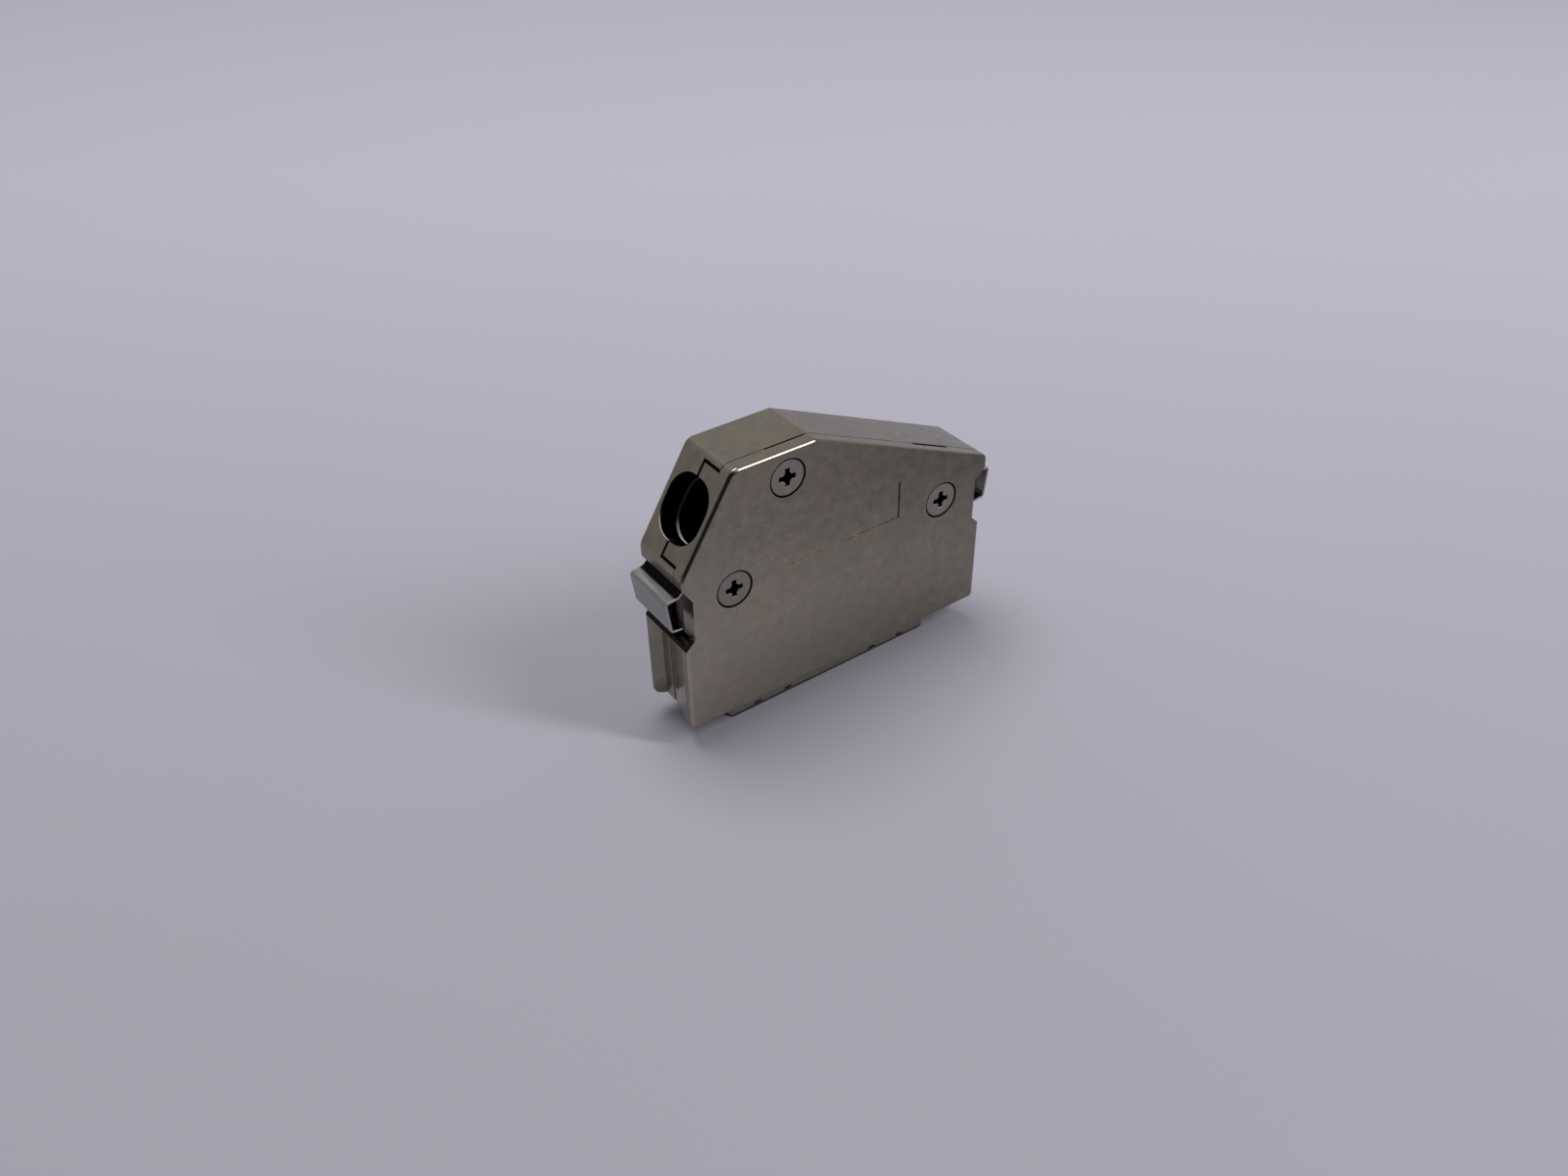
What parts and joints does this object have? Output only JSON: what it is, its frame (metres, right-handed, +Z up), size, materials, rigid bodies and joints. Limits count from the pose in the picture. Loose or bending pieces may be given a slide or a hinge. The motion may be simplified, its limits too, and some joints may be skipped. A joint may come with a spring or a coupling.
{
  "type": "cable plug connector",
  "caption": "Half-pitch cable plug in a two-part plated metal hood, with a slanted cable inlet, sprung squeeze latches at both ends and a metal-shielded contact nose.",
  "frame": {"origin": "on the floor, under the middle of the plug, at the end of its nose", "axes": "+X along the hood away from the cable inlet, +Y from the front face to the rear, +Z up from the nose to the roof"},
  "size_m": [0.055, 0.0108, 0.042],
  "materials": {
    "nickel_plate": "satin",
    "screw_steel": "satin",
    "latch_steel": "satin",
    "shield_steel": "satin",
    "black_resin": "matte",
    "gold_flash": "polished"
  },
  "bodies": {
    "hood": {"front_shell": "nickel_plate", "rear_shell": "nickel_plate", "upper_screw": "screw_steel", "left_screw": "screw_steel", "right_screw": "screw_steel", "plug_shield": "shield_steel", "plug_insulator": "black_resin", "front_contact_1": "gold_flash", "front_contact_2": "gold_flash", "front_contact_3": "gold_flash", "front_contact_4": "gold_flash", "front_contact_5": "gold_flash", "front_contact_6": "gold_flash", "front_contact_7": "gold_flash", "front_contact_8": "gold_flash", "front_contact_9": "gold_flash", "front_contact_10": "gold_flash", "front_contact_11": "gold_flash", "front_contact_12": "gold_flash", "front_contact_13": "gold_flash", "front_contact_14": "gold_flash", "front_contact_15": "gold_flash", "front_contact_16": "gold_flash", "front_contact_17": "gold_flash", "front_contact_18": "gold_flash", "front_contact_19": "gold_flash", "front_contact_20": "gold_flash", "front_contact_21": "gold_flash", "front_contact_22": "gold_flash", "front_contact_23": "gold_flash", "front_contact_24": "gold_flash", "front_contact_25": "gold_flash", "rear_contact_1": "gold_flash", "rear_contact_2": "gold_flash", "rear_contact_3": "gold_flash", "rear_contact_4": "gold_flash", "rear_contact_5": "gold_flash", "rear_contact_6": "gold_flash", "rear_contact_7": "gold_flash", "rear_contact_8": "gold_flash", "rear_contact_9": "gold_flash", "rear_contact_10": "gold_flash", "rear_contact_11": "gold_flash", "rear_contact_12": "gold_flash", "rear_contact_13": "gold_flash", "rear_contact_14": "gold_flash", "rear_contact_15": "gold_flash", "rear_contact_16": "gold_flash", "rear_contact_17": "gold_flash", "rear_contact_18": "gold_flash", "rear_contact_19": "gold_flash", "rear_contact_20": "gold_flash", "rear_contact_21": "gold_flash", "rear_contact_22": "gold_flash", "rear_contact_23": "gold_flash", "rear_contact_24": "gold_flash", "rear_contact_25": "gold_flash"},
    "left_latch": {"left_latch": "latch_steel"},
    "right_latch": {"right_latch": "latch_steel"}
  },
  "joints": [
    {"name": "left_latch_press", "type": "hinge", "parent": "hood", "child": "left_latch", "pos_m": [-0.02215, 0, 0.0131], "axis": [0, 1, 0], "range_deg": [0, 4], "stiffness_Nm_per_rad": 0.05},
    {"name": "right_latch_press", "type": "hinge", "parent": "hood", "child": "right_latch", "pos_m": [0.02215, 0, 0.0131], "axis": [0, -1, 0], "range_deg": [0, 4], "stiffness_Nm_per_rad": 0.05}
  ]
}
